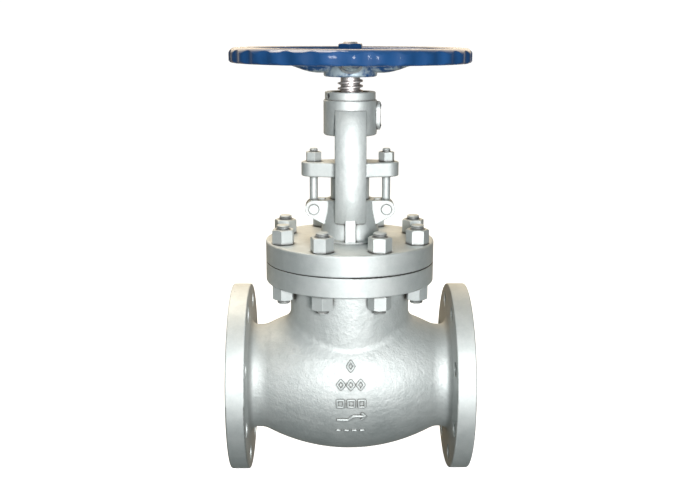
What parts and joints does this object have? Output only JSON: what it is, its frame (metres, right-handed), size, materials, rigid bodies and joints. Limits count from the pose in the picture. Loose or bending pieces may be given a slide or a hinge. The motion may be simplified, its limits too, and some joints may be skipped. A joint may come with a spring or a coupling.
{
  "type": "globe valve",
  "caption": "Flanged globe valve with a bolted bonnet, outside screw and yoke, bolted gland and a blue handwheel that lifts the disc off its seat.",
  "frame": {"origin": "centre of the raised face of the inlet flange, on the pipe axis, 1.6 mm in front of the plane the bolt holes start in", "axes": "+X along the pipe axis in the direction of flow, from the inlet face to the outlet face; +Z along the stem towards the handwheel; +Y completes the right-handed set, so the cast marks face -Y"},
  "size_m": [0.292, 0.284, 0.5235],
  "materials": {
    "silver_paint": "bright aluminium-silver paint over sand-cast steel",
    "silver_fasteners": "bright silver paint over machined fasteners",
    "machined_steel": "turned stainless steel",
    "bronze": "turned bronze",
    "graphite": "braided graphite packing, matt dark grey",
    "blue_paint": "gloss blue enamel over cast iron",
    "blank_plate": "plain aluminium disc, blank"
  },
  "bodies": {
    "valve_body": {"body": "silver_paint", "bonnet": "silver_paint", "gland_flange": "silver_paint", "gland_follower": "silver_paint", "yoke_nut_retainer": "silver_paint", "retainer_grub_screw": "silver_paint", "bonnet_studs": "silver_fasteners", "bonnet_nuts_upper": "silver_fasteners", "bonnet_nuts_lower": "silver_fasteners", "gland_eyebolt_left": "silver_fasteners", "gland_eyebolt_right": "silver_fasteners", "gland_pin_left": "silver_fasteners", "gland_pin_right": "silver_fasteners", "gland_nut_left": "silver_fasteners", "gland_nut_right": "silver_fasteners", "seat_ring": "machined_steel", "packing_washer": "machined_steel", "bonnet_gasket": "machined_steel", "yoke_nut": "bronze", "backseat_bush": "bronze", "packing_ring_1": "graphite", "packing_ring_2": "graphite", "packing_ring_3": "graphite", "packing_ring_4": "graphite", "packing_ring_5": "graphite", "id_plate": "blank_plate", "id_plate_rivets": "blank_plate"},
    "disc_assembly": {"disc": "machined_steel", "disc_nut": "machined_steel", "disc_thrust_washer": "machined_steel"},
    "stem_and_wheel": {"stem": "machined_steel", "handwheel": "blue_paint", "handwheel_washer": "blue_paint", "handwheel_nut": "blue_paint"}
  },
  "joints": [
    {"name": "stem_lift", "type": "slide", "parent": "valve_body", "child": "disc_assembly", "axis": [0, 0, 1], "range_m": [0, 0.0281]},
    {"name": "handwheel_turn", "type": "hinge", "parent": "disc_assembly", "child": "stem_and_wheel", "pos_m": [0.146, 0, 0.39], "axis": [0, 0, 1], "range_deg": [0, 1680]}
  ],
  "couplings": [
    {"joint": "stem_lift", "follows": "handwheel_turn", "m_per_rad": 0.00095493}
  ]
}
